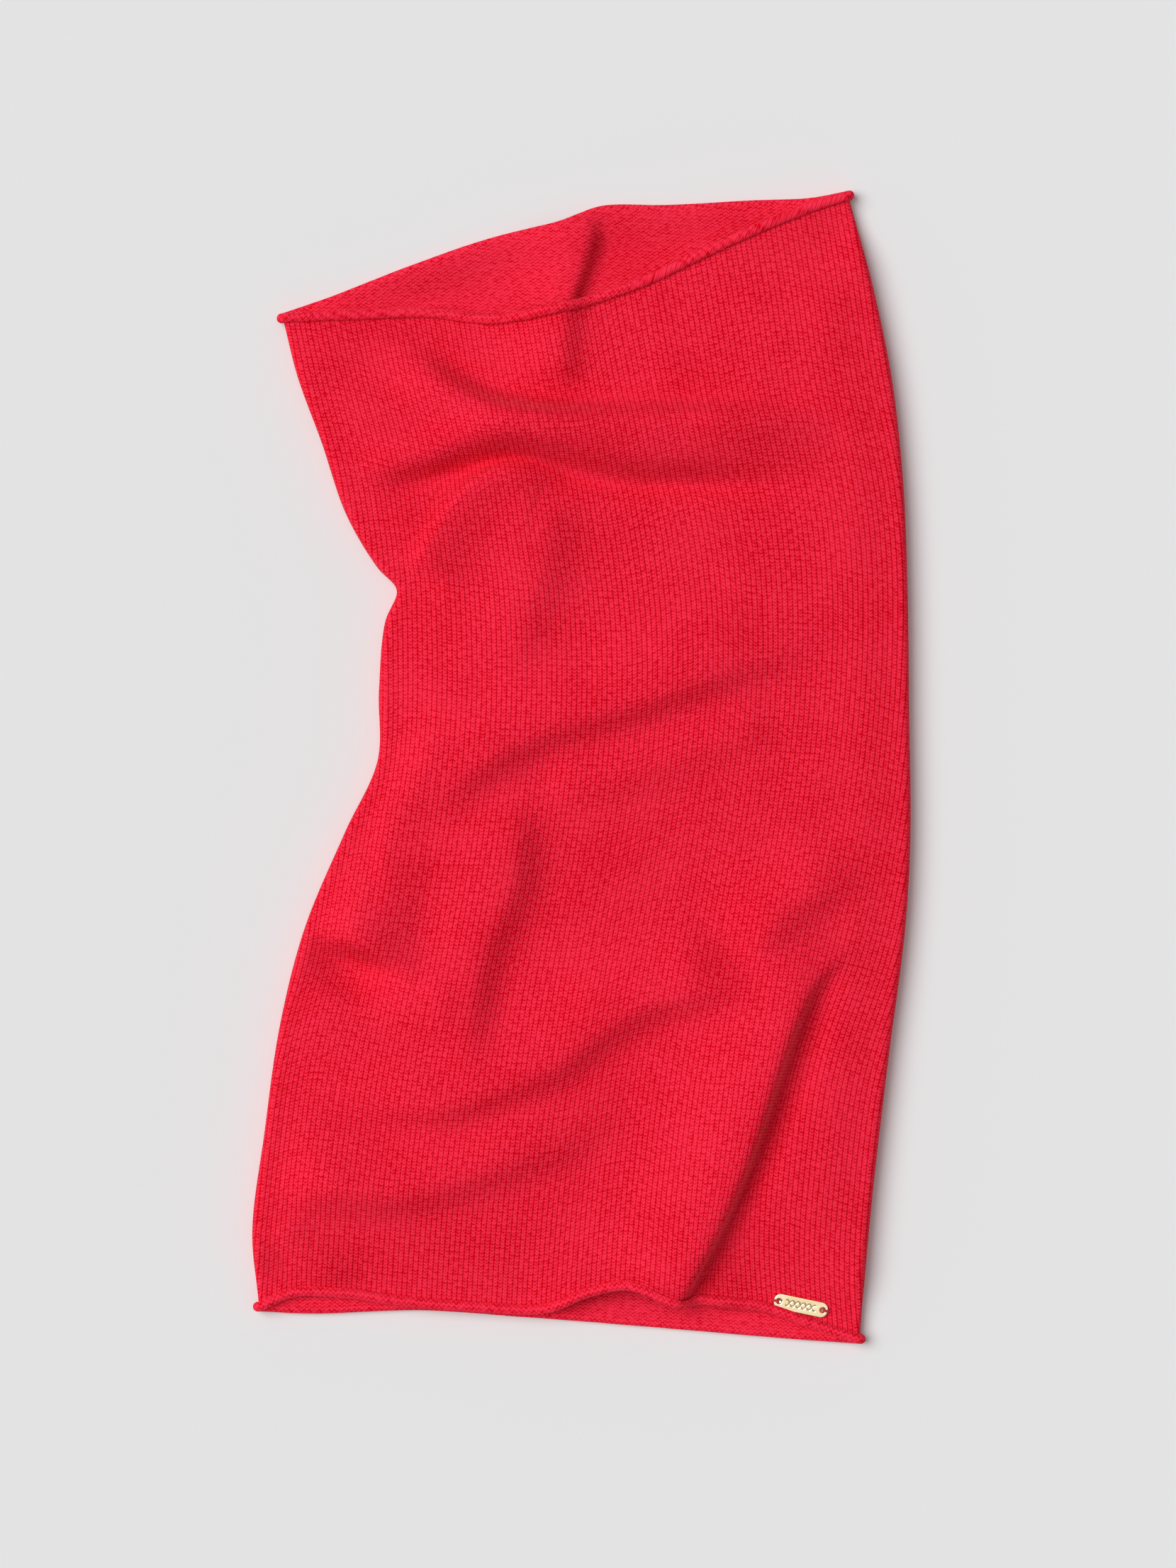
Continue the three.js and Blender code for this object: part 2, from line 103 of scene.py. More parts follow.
LOW_BACK_EDGE = [
    (-48.9, -46.7), (-40.9, -46.9), (-24.8, -46.6), (-8.6, -47.2), (7.5, -47.9),
    (23.7, -48.7), (34.5, -49.2), (42.2, -49.5),
]


class Fold(NamedTuple):
    """A ridge along a line, or a valley where its height is below zero.

    `left` and `right` are its reach in mm to either side of the line, as walked, and `lean` is
    how far its crest is carried to the left, in mm. `fade` holds the shares of the line over
    which it comes up and dies away.
    """

    line: list
    height: float
    left: float
    right: float
    lean: float = 0.0
    fade: tuple = (0.16, 0.16)


FRONT_FOLDS = {
    "yoke fold, steep on its upper side": Fold(
        [(-31.5, 37.6), (-26.0, 35.2), (-20.4, 32.6), (-13.5, 30.6), (-4.3, 29.8),
         (6.5, 29.7), (19.4, 29.8), (31.3, 29.6), (39.9, 29.0)], 9.6, 6.5, 11, 0.8, (0.16, 0.28)),
    "lower edge of the yoke fold": Fold(
        [(-36.5, 26.2), (-28.0, 26.6), (-22.6, 27.2), (-17.2, 28.3), (-11.2, 28.9),
         (-4.8, 28.6), (1.4, 27.6), (8.6, 27.0), (19.4, 26.9), (30.2, 26.9), (39.9, 27.2)],
        6.0, 9, 6, 0, (0.2, 0.4)),
    "crease above the yoke fold": Fold(
        [(-28.0, 38.6), (-22.6, 36.6), (-17.2, 34.2), (-12.9, 32.8), (-4.3, 31.9),
         (6.5, 31.8), (19.4, 31.9), (31.3, 31.8), (38.8, 31.3)], -1.8, 3.5, 5, 0, (0.04, 0.4)),
    "valley under the yoke fold": Fold(
        [(-36.5, 24.2), (-28.0, 24.4), (-22.6, 25.0), (-17.2, 26.0), (-11.2, 26.6),
         (-4.8, 26.2), (1.4, 25.2), (8.6, 24.6), (19.4, 24.5), (30.2, 24.5), (40.9, 25.0)],
        -5.0, 5, 6, 0, (0.2, 0.4)),
    "rim of the shoulder": Fold(
        [(-26.4, 16.0), (-22.6, 19.2), (-19.6, 22.0), (-16.0, 24.2), (-11.2, 25.6),
         (-6.0, 25.7), (-1.8, 24.4)], 5.4, 3.6, 14, 1.5, (0.15, 0.3)),
    "full front of the waist": Fold(
        [(-6.2, 24.6), (-6.0, 21.1), (-7.5, 15.5), (-10.6, 10.6), (-12.9, 5.1)],
        5.0, 12, 22, 0, (0.2, 0.4)),
    "ridge over the side lobe": Fold(
        [(-31.0, 2.6), (-30.2, -1.1), (-29.5, -6.0), (-28.7, -10.9), (-28.0, -14.6)],
        3.2, 30, 5.5, -0.8, (0.05, 0.5)),
    "lower edge of the side lobe": Fold(
        [(-43.6, -12.3), (-39.9, -13.2), (-35.6, -14.7), (-31.3, -15.8), (-27.0, -16.6),
         (-22.5, -17.0)], 9.0, 26, 7, 0, (0.2, 0.5)),
    "pocket under the side lobe": Fold(
        [(-44.6, -14.4), (-39.9, -15.2), (-35.6, -16.2), (-30.2, -17.5), (-25.9, -18.1)],
        -9.5, 5, 16, 0, (0.1, 0.4)),
    "rim under the pocket": Fold(
        [(-45.3, -19.4), (-39.9, -19.8), (-32.3, -20.6), (-24.8, -20.6), (-18.3, -19.1)],
        2.0, 9, 12),
    "ridge that falls away to the middle": Fold(
        [(-11.6, -2.0), (-10.6, -6.0), (-11.0, -9.7), (-13.1, -12.8), (-15.5, -15.8),
         (-17.0, -19.5), (-18.1, -23.2), (-19.6, -27.4)], 7.4, 9, 24, 0, (0.2, 0.3)),
    "upper slanting slope": Fold(
        [(-23.9, -5.4), (-20.3, -1.7), (-14.0, 1.1), (-3.2, 4.0), (7.5, 5.8), (18.3, 8.0),
         (29.1, 10.1), (40.9, 12.8)], 8.0, 26, 8, 0, (0.25, 0.4)),
    "faint slope under it": Fold(
        [(-6.5, -1.6), (8.6, -0.3), (19.4, 2.1), (30.2, 4.0)], 2.6, 12, 8),
    "lower slanting slope": Fold(
        [(-43.0, -27.0), (-34.5, -28.0), (-28.0, -28.6), (-21.6, -29.0), (-12.9, -27.4),
         (-4.3, -25.4), (4.3, -21.8), (11.9, -19.7), (19.4, -18.8), (25.9, -17.4)],
        8.0, 22, 8, 0, (0.3, 0.16)),
    "its end at the right side": Fold(
        [(22.6, -16.5), (28.0, -13.4), (33.4, -11.0), (39.9, -9.4), (44.0, -8.8)],
        5.5, 16, 9, 0, (0.3, 0.4)),
    "lowest slanting slope": Fold(
        [(-49.0, -35.4), (-43.0, -35.9), (-38.0, -36.3), (-31.3, -36.6), (-21.6, -35.7),
         (-10.8, -33.6), (-2.2, -31.7), (8.6, -27.8)], 7.2, 16, 9, 0, (0.2, 0.4)),
}
# These keep their height right up to the mouths. The ones above die away towards them.
MOUTH_FOLDS = {
    "crease at the lower left corner": Fold(
        [(-47.6, -38.6), (-45.0, -41.0), (-40.4, -43.0), (-32.3, -44.4)], 3.6, 10, 5, 0,
        (0.2, 0.4)),
    "ridge that runs up to the top mouth": Fold(
        [(-3.2, 42), (-3.2, 37.1), (-3.4, 32.2)], 5.5, 7, 18, 0, (0.02, 0.3)),
    "deep fold at the lower right": Fold(
        [(42.6, -14.0), (37.7, -16.2), (33.4, -18.6), (30.2, -22.0), (27.8, -25.7),
         (25.0, -30.6), (21.8, -35.5), (17.8, -40.5), (14.5, -44.2), (12.0, -48.0)],
        11.0, 5, 28, 3.6, (0.3, 0.12)),
    "crease beside the deep fold": Fold(
        [(40.9, -16.2), (37.2, -18.6), (34.5, -22.0), (32.1, -26.3), (29.1, -31.2),
         (25.4, -36.2), (21.3, -41.1), (17.8, -45.1), (16.0, -48.5)], -3.5, 6, 5, 0,
        (0.3, 0.12)),
}
BACK_FOLDS = {
    "fold inside the top mouth, steep on its right side": Fold(
        [(0.8, 48.8), (0.0, 45.7), (-1.6, 42.9), (-3.0, 40.5), (-3.6, 37.7)],
        7.0, 5, 18, 2.2, (0.3, 0.3)),
}

# ---- sizes of the laid tube, in mm ----


def outline_span(axis):
    """Lowest and highest hundredth of the side lines."""
    values = [point[axis] for point in LEFT_SIDE + RIGHT_SIDE]
    return min(values), max(values)


def node_size(node, axis):
    low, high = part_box(node)
    return (high[axis] - low[axis]) / MM


ROLL_DIAMETER = node_size("low_back_roll", 2)
SIDE_FOLD_HEIGHT = node_size("right_side_fold", 2)
BOX_LOW, BOX_HIGH = (np.array(corner) / MM for corner in CAD_BOX)
SPANS = np.array([outline_span(0), outline_span(1)]) / 100
LAID = (BOX_HIGH[:2] - BOX_LOW[:2] - [0, ROLL_DIAMETER]) / (SPANS[:, 1] - SPANS[:, 0])
MIDDLE = (BOX_HIGH[:2] + BOX_LOW[:2]) / 2 - LAID * SPANS.mean(1)

PANEL_HEIGHT = 12.6  # of the front's outer face between its folds
TIP_HEIGHT = 3.6  # of the tube where it runs out at the mouths
MOUTH_GAP = 0.6  # between the front and back edges where the mouths lie closed
MOUTH_BLEND = 44.0  # distance over which the front comes down to its edge
TIP_BLEND = 26.0  # distance over which the sides come down to the mouths' ends
SIDE_BLEND = 20.0  # distance over which the front comes down to its sides
ROLL_RISE_BLEND = 14.0  # distance over which the tube rises onto its rolled edges
WRAP = 8.0  # how far the front piece reaches under the tube at each side
SIDE_REACH = 0.55  # how far each side's bend goes in, as a share of half its height
LEAST_SIDE_REACH = 1.7  # least that it goes in, at the mouths, where the tube is thin
LIFT_HEIGHT = 4.9  # of the mouths where they stand open
TOP_LIFT = (0.54, 0.74, 0.30)  # from, to and ramp, as shares of the way across
LOW_LIFT = (0.54, 0.71, 0.12)
RIPPLE_HEIGHT = 0.5  # of the cloth's small unevenness

GRID = 1.75  # between the points of the front cloth
BACK_GRID = 2.3
BEND_ROWS = 26  # to either side, over which the wales even out the bends of the outline
SLOPE_ROWS = 9  # to either side, over which the stitches even out the slopes
UNDER_STEPS = 4  # across the part that is wrapped under the tube
ARC_STEPS = 10  # round each side
CURL_STEPS = 12  # round each rolled edge
CURL_WOBBLE = 0.1  # most that a rolled edge tightens, as a share of its radius


# ---- small helpers ----


def smooth(value):
    """Goes from 0 to 1 with level ends."""
    q = np.clip(value, 0, 1)
    return q * q * (3 - 2 * q)


def lerp(a, b, share):
    return a + (b - a) * share


def unit(vectors):
    return vectors / np.maximum(np.linalg.norm(vectors, axis=-1, keepdims=True), 1e-9)


def soft_waves(values, lengths, seed):
    """A gentle, repeatable wobble between about -1 and 1 along values in mm."""
    phases = np.random.default_rng(seed).uniform(0, FULL_TURN, len(lengths))
    waves = [np.sin(FULL_TURN * values / n + p) for n, p in zip(lengths, phases)]
    return sum(waves) / len(lengths)


class Line:
    """A smooth line through points in hundredths, read by the share of its length."""

    STEPS = 24

    def __init__(self, points):
        ends = np.array(points, float) / 100 * LAID + MIDDLE
        first, last = 2 * ends[0] - ends[1], 2 * ends[-1] - ends[-2]
        ends = np.vstack([first, ends, last])
        dense = [self.stretch(ends[i : i + 4]) for i in range(len(ends) - 3)]
        self.points = np.vstack(dense + [ends[-2][None]])
        steps = np.linalg.norm(np.diff(self.points, axis=0), axis=1)
        self.along = np.concatenate([[0], np.cumsum(steps)])
        self.length = self.along[-1]

    @classmethod
    def stretch(cls, four):
        """Centripetal Catmull-Rom between the middle two of four points."""
        gaps = np.sqrt(np.linalg.norm(np.diff(four, axis=0), axis=1))
        a, b, c = gaps
        p0, p1, p2, p3 = four
        start = ((p1 - p0) / a - (p2 - p0) / (a + b) + (p2 - p1) / b) * b
        end = ((p2 - p1) / b - (p3 - p1) / (b + c) + (p3 - p2) / c) * b
        q = (np.arange(cls.STEPS) / cls.STEPS)[:, None]
        return (
            (2 * q**3 - 3 * q**2 + 1) * p1 + (q**3 - 2 * q**2 + q) * start
            + (3 * q**2 - 2 * q**3) * p2 + (q**3 - q**2) * end
        )

    def at(self, share):
        wanted = np.asarray(share) * self.length
        return np.stack([np.interp(wanted, self.along, self.points[:, k]) for k in (0, 1)], -1)


left_side, right_side = Line(LEFT_SIDE), Line(RIGHT_SIDE)
SIDE_LENGTH = min(left_side.length, right_side.length)


class Panel:
    """A patch between the two sides and its own low and top edges."""

    def __init__(self, low_edge, top_edge):
        self.low, self.top = Line(low_edge), Line(top_edge)

    def place(self, s, t):
        """Plan position at share s across and t along."""
        s, t = np.broadcast_arrays(s, t)
        sides = lerp(left_side.at(t), right_side.at(t), s[..., None])
        ends = lerp(self.low.at(s), self.top.at(s), t[..., None])
        low = lerp(self.low.at(0.0), self.low.at(1.0), s[..., None])
        top = lerp(self.top.at(0.0), self.top.at(1.0), s[..., None])
        return sides + ends - lerp(low, top, t[..., None])


front_map = Panel(LOW_FRONT_EDGE, TOP_FRONT_EDGE)
back_map = Panel(LOW_BACK_EDGE, TOP_BACK_EDGE)


def laid_width(t):
    return np.linalg.norm(right_side.at(t) - left_side.at(t), axis=-1)


FULL_WIDTH = laid_width(0.25)


def fold_shift(fold, places):
    """How much a fold adds to each place: sideways x and y, and height."""
    route = Line(fold.line).at(np.linspace(0, 1, 10 * len(fold.line)))
    nearest = np.full(places.shape[:-1], np.inf)
    share, side = np.zeros_like(nearest), np.ones_like(nearest)
    turn = np.zeros_like(places)
    for i, (start, end) in enumerate(zip(route[:-1], route[1:])):
        step, offset = end - start, places - start
        along = np.clip(offset @ step / (step @ step), 0, 1)
        apart = offset - along[..., None] * step
        distance = np.linalg.norm(apart, axis=-1)
        closer = distance < nearest
        nearest = np.where(closer, distance, nearest)
        share = np.where(closer, (i + along) / (len(route) - 1), share)
        side = np.where(closer, step[0] * offset[..., 1] - step[1] * offset[..., 0], side)
        turn[closer] = np.array([-step[1], step[0]]) / np.linalg.norm(step)
    reach = np.where(side > 0, fold.left, fold.right)
    rise = smooth(share / fold.fade[0]) * smooth((1 - share) / fold.fade[1])
    bell = (rise * np.exp(-((nearest / reach) ** 2)))[..., None]
    return np.concatenate([turn * fold.lean * bell, fold.height * bell], -1)


def folds_at(folds, places):
    return sum(fold_shift(fold, places) for fold in folds.values())


# ---- the lying tube ----


def end_distance(t):
    """Distance from the nearer mouth."""
    return np.minimum(t, 1 - t) * SIDE_LENGTH


def tube_height(t):
    """Height of the tube at its sides."""
    return lerp(TIP_HEIGHT, SIDE_FOLD_HEIGHT, smooth(end_distance(t) / TIP_BLEND))


def side_reach(t):
    """How far the bend at each side goes in from the outline."""
    return np.maximum(SIDE_REACH * tube_height(t) / 2, LEAST_SIDE_REACH)


def tube_rise(t, thickness):
    """How far the tube stands off the surface, on its rolled edges."""
    return (ROLL_DIAMETER - thickness) * (1 - smooth(end_distance(t) / ROLL_RISE_BLEND))


def mouth_height(s, t, thickness):
    """Height of the front's outer face at its edge."""
    lift = 0
    for begin, end, ramp, here in ((*TOP_LIFT, t >= 0.5), (*LOW_LIFT, t < 0.5)):
        lift = lift + here * smooth((s - begin) / ramp + 1) * smooth((end - s) / ramp + 1)
    return ROLL_DIAMETER + MOUTH_GAP + thickness + LIFT_HEIGHT * lift


def ripples(places):
    """The small unevenness of cloth that has been worn, in mm."""
    x, y = places[..., 0], places[..., 1]
    across = soft_waves(x + 0.35 * y, (61, 37, 23), 5)
    along = soft_waves(y - 0.25 * x, (83, 47, 29), 8)
    return RIPPLE_HEIGHT * across * along


def front_face(s, t, from_side, thickness):
    """Middle of the front cloth, between its side folds."""
    places = front_map.place(s, t)
    open_share = smooth(end_distance(t) / MOUTH_BLEND)
    inner_share = smooth(from_side / SIDE_BLEND)
    closed_folds = folds_at(FRONT_FOLDS, places) * open_share[..., None]
    shift = closed_folds + folds_at(MOUTH_FOLDS, places)
    level = lerp(mouth_height(s, t, thickness), PANEL_HEIGHT + ripples(places), open_share)
    folded = np.maximum(level + shift[..., 2], mouth_height(0, t, thickness))
    side = tube_rise(t, thickness) + tube_height(t)
    height = lerp(side, folded, inner_share) - thickness / 2
    plan = places + shift[..., :2] * inner_share[..., None]
    return np.concatenate([plan, height[..., None]], -1)


def back_face(s, t, from_side, thickness):
    """Middle of the back cloth, which lies on the surface but for its folds and ends."""
    places = back_map.place(s, t)
    shift = folds_at(BACK_FOLDS, places) * smooth(from_side / SIDE_BLEND)[..., None]
    height = tube_rise(t, thickness) + shift[..., 2] + thickness / 2
    return np.concatenate([places + shift[..., :2], height[..., None]], -1)


def side_face(right, t, thickness):
    """The front cloth's way round one side, from under the tube up to the panel."""
    radius, reach = tube_height(t) / 2, side_reach(t)
    width = laid_width(t)
    under = np.linspace(WRAP, 0, UNDER_STEPS + 1)[:-1] + reach
    angles = np.linspace(-math.pi / 2, math.pi / 2, ARC_STEPS + 1)[:-1]
    arc = reach - (reach - thickness / 2) * np.cos(angles)
    inward = np.concatenate([under, arc], 1)
    share = inward / width
    share = 1 - share if right else share
    climb = np.concatenate([np.full(under.shape[1], -1.0), np.sin(angles)])
    upper = ((1 + climb) / 2)[None, :, None]
    flat = lerp(back_map.place(share, t), front_map.place(share, t), upper)
    height = tube_rise(t, thickness) + radius + (radius - thickness / 2) * climb
    return np.concatenate([flat, height[..., None]], -1)


def rows_along(step):
    return np.linspace(0, 1, round(SIDE_LENGTH / step) + 1)[:, None]


def front_grid(thickness):
    t = rows_along(GRID)
    reach, width = side_reach(t), laid_width(t)
    across = np.linspace(0, 1, round(FULL_WIDTH / GRID) + 1)
    s = lerp(reach / width, 1 - reach / width, across)
    from_side = np.minimum(s, 1 - s) * width - reach
    panel = front_face(s, t, from_side, thickness)
    left = side_face(False, t, thickness)
    right = side_face(True, t, thickness)[:, ::-1]
    return np.concatenate([left, panel, right], 1)


def back_grid(thickness):
    """Walked from the right to the left, so that its outer face looks down."""
    t = rows_along(BACK_GRID)
    reach, width = side_reach(t) + WRAP, laid_width(t)
    across = np.linspace(1, 0, round(FULL_WIDTH / BACK_GRID) + 1)
    s = lerp(reach / width, 1 - reach / width, across)
    from_side = np.minimum(s, 1 - s) * width - (reach - WRAP)
    return back_face(s, t, from_side, thickness)


def grid_frame(points):
    """Unit normals of a grid, and its direction along the tube."""
    across = np.gradient(points, axis=1)
    along = np.gradient(points, axis=0)
    normals = unit(np.cross(across, along))
    return normals, unit(np.cross(normals, across))


def curled(points, radius, turn):
    """Adds the curl at both ends of a grid. Gives its points and their normals."""
    normals, along = grid_frame(points)
    angles = np.linspace(0, turn, CURL_STEPS + 1)[1:]
    waves = soft_waves(np.arange(points.shape[1]) * GRID, (19, 43, 71), 3)
    curl = radius * (1 - CURL_WOBBLE * (1 + waves) / 2)[:, None]
    ends = []
    for row, direction in ((0, -1), (-1, 1)):
        out, up = direction * along[row], normals[row]
        spots = [points[row] + curl * (out * math.sin(a) + up * (1 - math.cos(a))) for a in angles]
        leans = [up * math.cos(a) - out * math.sin(a) for a in angles]
        ends.append((spots, leans))
    (low, low_normals), (top, top_normals) = ends
    return (
        np.array(low[::-1] + list(points) + top),
        unit(np.array(low_normals[::-1] + list(normals) + top_normals)),
    )


# ---- meshes ----


def evened(values, axis, reach):
    """Averages values with their neighbours along an axis, three times over."""
    pad = [(0, 0), (0, 0)]
    pad[axis] = (reach + 1, reach)
    width, count = 2 * reach + 1, values.shape[axis]
    for _ in range(3):
        sums = np.cumsum(np.pad(values, pad, "reflect", reflect_type="odd"), axis=axis)
        last = np.take(sums, range(width, width + count), axis)
        values = (last - np.take(sums, range(count), axis)) / width
    return values


def cloth_run(points, walked, axis):
    """How far the cloth has run along x or y on the way over a grid, with its slopes evened out."""
    steps = np.diff(points, axis=walked)
    level = np.abs(steps[..., axis])
    climb = evened(np.hypot(level, steps[..., 2]) - level, 1 - walked, SLOPE_ROWS)
    start = [(0, 0), (0, 0)]
    start[walked] = (1, 0)
    return np.pad(np.cumsum(level + climb, axis=walked), start)


def stitch_counts(points, wale, course):
    """Wale and course number at each point of a grid. The wales even out the outline's bends."""
    across, along = cloth_run(points, 1, 0), cloth_run(points, 0, 1)
    middle = points.shape[1] // 2
    spine = points[:, middle, :1]
    bend = spine - evened(spine, 0, BEND_ROWS)
    facing = np.sign(points[0, -1, 0] - points[0, 0, 0])
    across = across - across[:, middle, None] + facing * bend
    return across / wale, along / course


def grid_quads(rows, columns, first, flip):
    at = first + np.arange(rows * columns).reshape(rows, columns)
    corners = [at[:-1, :-1], at[:-1, 1:], at[1:, 1:], at[1:, :-1]]
    corners = corners[::-1] if flip else corners
    return np.stack([c.ravel() for c in corners], 1)


def rim_loop(rows, columns):
    """Points round the edge of a grid, in order."""
    at = np.arange(rows * columns).reshape(rows, columns)
    return np.concatenate([at[0, :-1], at[:-1, -1], at[-1, :0:-1], at[:0:-1, 0]])


# Where the faces of a cloth lie on its image: shares across it for each, and up it for them all.
OUTER_SPAN, INNER_SPAN, RIM_SPAN = (0.01, 0.78), (0.81, 0.99), (0.792, 0.798)
TALL_SPAN = (0.01, 0.99)


def smooth_mesh(name, points, faces):
    """A mesh in metres from points in mm, shaded smooth."""
    mesh = bpy.data.meshes.new(name)
    mesh.from_pydata((points * MM).tolist(), [], faces)
    mesh.polygons.foreach_set("use_smooth", np.ones(len(faces), bool))
    return mesh


def cloth_mesh(name, points, normals, counts, thickness):
    """A closed cloth: its outer face, its inner face and the rim between them."""
    rows, columns = points.shape[:2]
    size = rows * columns
    offset = normals * thickness / 2
    verts = np.concatenate([(points + offset).reshape(-1, 3), (points - offset).reshape(-1, 3)])
    loop = rim_loop(rows, columns)
    edge = np.stack([loop, np.roll(loop, -1)], 1)
    rim = np.concatenate([edge[:, ::-1], edge + size], 1)
    quads = np.concatenate([
        grid_quads(rows, columns, 0, False), grid_quads(rows, columns, size, True), rim])
    mesh = smooth_mesh(name, verts, quads.tolist())
    inner = np.zeros(len(quads), np.int32)
    inner[len(quads) - len(rim) - (rows - 1) * (columns - 1) :] = 1
    mesh.polygons.foreach_set("material_index", inner)
    mark_sharp(mesh, np.concatenate([edge, edge + size]))
    wales, courses = counts
    stitches = np.tile(np.stack([wales.ravel(), courses.ravel()], 1), (2, 1))
    write_map(mesh, "Stitches", stitches[quads.ravel()])
    write_map(mesh, "OFBake", bake_corners(quads, rows, columns, len(rim)))
    mesh.update()
    return mesh


def mark_sharp(mesh, pairs):
    """Keeps the shading of a rim apart from that of the faces beside it."""
    ends = np.empty(len(mesh.edges) * 2, np.int32)
    mesh.edges.foreach_get("vertices", ends)
    ends = np.sort(ends.reshape(-1, 2), axis=1).astype(np.int64)
    wanted = np.sort(pairs, axis=1).astype(np.int64)
    count = len(mesh.vertices)
    sharp = np.isin(ends[:, 0] * count + ends[:, 1], wanted[:, 0] * count + wanted[:, 1])
    mesh.edges.foreach_set("use_edge_sharp", sharp)


def write_map(mesh, name, corners):
    layer = mesh.uv_layers.new(name=name, do_init=False)
    layer.uv.foreach_set("vector", corners.astype(np.float32).ravel())


def bake_corners(quads, rows, columns, rim_count):
    """Corners of the OFBake map: each face beside the next, and the rim in a strip."""
    x, y = np.meshgrid(np.linspace(0, 1, columns), np.linspace(*TALL_SPAN, rows))
    spots = [np.stack([lerp(*span, x), y], -1).reshape(-1, 2) for span in (OUTER_SPAN, INNER_SPAN)]
    faces = np.concatenate(spots)[quads[: len(quads) - rim_count].ravel()]
    step = np.linspace(*TALL_SPAN, rim_count + 1)
    low, high = (np.full(rim_count, edge) for edge in RIM_SPAN)
    corners = ((low, step[1:]), (low, step[:-1]), (high, step[:-1]), (high, step[1:]))
    rim = np.stack([np.stack(corner, -1) for corner in corners], 1)
    return np.concatenate([faces, rim.reshape(-1, 2)])


def show(name, mesh, materials, slot, *nodes):
    """Puts a mesh in the scene as a piece that stands for CAD nodes."""
    for material in materials:
        mesh.materials.append(material)
    piece = bpy.data.objects.new(name, mesh)
    bpy.context.scene.collection.objects.link(piece)
    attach(piece, "root")
    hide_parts(*nodes)
    return piece


# ---- finishes ----


class Number:
    """A socket that takes part in arithmetic. Each operator adds its Math node."""

    def __init__(self, finish, socket):
        self.finish, self.socket = finish, socket

    def __add__(self, other):
        return self.finish.math("ADD", self, other)

    def __sub__(self, other):
        return self.finish.math("SUBTRACT", self, other)

    def __rsub__(self, other):
        return self.finish.math("SUBTRACT", other, self)

    def __mul__(self, other):
        return self.finish.math("MULTIPLY", self, other)

    def __pow__(self, other):
        return self.finish.math("POWER", self, other)

    __radd__ = __add__
    __rmul__ = __mul__


class Finish:
    """The nodes of one material, or of the light all round."""

    def __init__(self, owner):
        owner.use_nodes = True
        self.owner, self.tree = owner, owner.node_tree
        self.tree.nodes.clear()

    @classmethod
    def of_material(cls, name):
        return cls(bpy.data.materials.new(name))

    def node(self, kind, settings=None, sockets=None, output=0):
        """Adds a node: its settings first, then its sockets' values or links."""
        made = self.tree.nodes.new(kind)
        for key, value in (settings or {}).items():
            setattr(made, key, value)
        for key, value in (sockets or {}).items():
            if isinstance(value, Number):
                self.tree.links.new(value.socket, made.inputs[key])
            else:
                made.inputs[key].default_value = value
        return Number(self, made.outputs[output]) if made.outputs else None

    def math(self, operation, *values):
        sockets = dict(enumerate(values))
        return self.node("ShaderNodeMath", {"operation": operation}, sockets)

    def fraction(self, value):
        return self.math("FRACT", value)

    def wave(self, turns):
        """From 0 to 1 and back once in each turn, highest at whole turns."""
        return 0.5 + 0.5 * self.math("COSINE", turns * FULL_TURN)

    def between(self, value, low, high):
        """0 below low and 1 above high, smooth in between."""
        return self.node("ShaderNodeMapRange", {"interpolation_type": "SMOOTHSTEP"}, {
            "Value": value, "From Min": low, "From Max": high})

    def mix(self, share, a, b):
        """A colour between two."""
        return self.node("ShaderNodeMix", {"data_type": "RGBA"}, {
            "Factor": share, 6: rgba(a), 7: rgba(b)}, 2)

    def noise(self, vector, scale, detail=2.0):
        return self.node("ShaderNodeTexNoise", {"noise_dimensions": "3D"}, {
            "Vector": vector, "Scale": scale, "Detail": detail})

    def surface(self, sockets):
        """The shader itself, with constants set on its own sockets."""
        shader = self.node("ShaderNodeBsdfPrincipled", {}, sockets)
        self.node("ShaderNodeOutputMaterial", {}, {"Surface": shader})
        return self.owner


def rgba(colour):
    return colour if isinstance(colour, Number) else (*colour, 1.0)


def stitch_place(finish):
    """Wale and course numbers, and both as a vector."""
    vector = finish.node("ShaderNodeUVMap", {"uv_map": "Stitches"})
    wale, course = (
        finish.node("ShaderNodeSeparateXYZ", {}, {0: vector}, part) for part in (0, 1))
    return wale, course, vector


def knit_relief(finish, wale, course):
    """The knit side: a column of V stitches in each wale, with a deep groove beside it."""
    across = finish.math("ABSOLUTE", finish.fraction(wale) * 2 - 1)
    leg = finish.wave(course - 0.55 * across)
    groove = 1 - across ** 4
    heart = finish.between(across, 0.0, 0.3)
    return (0.15 + 0.85 * groove) * (0.4 + 0.46 * leg + 0.14 * heart)


def purl_relief(finish, wale, course):
    """The purl side: rows of short wavy bars."""
    sway = 0.28 * finish.math("COSINE", wale * FULL_TURN)
    bar = finish.wave(course + sway)
    gap = finish.wave(wale * 2)
    # The floor of 0.46 makes the painted shade on the purl side light, so that the purl faces
    # inside the mouths show bright.
    return 0.46 + 0.64 * bar * (0.6 + 0.4 * gap)


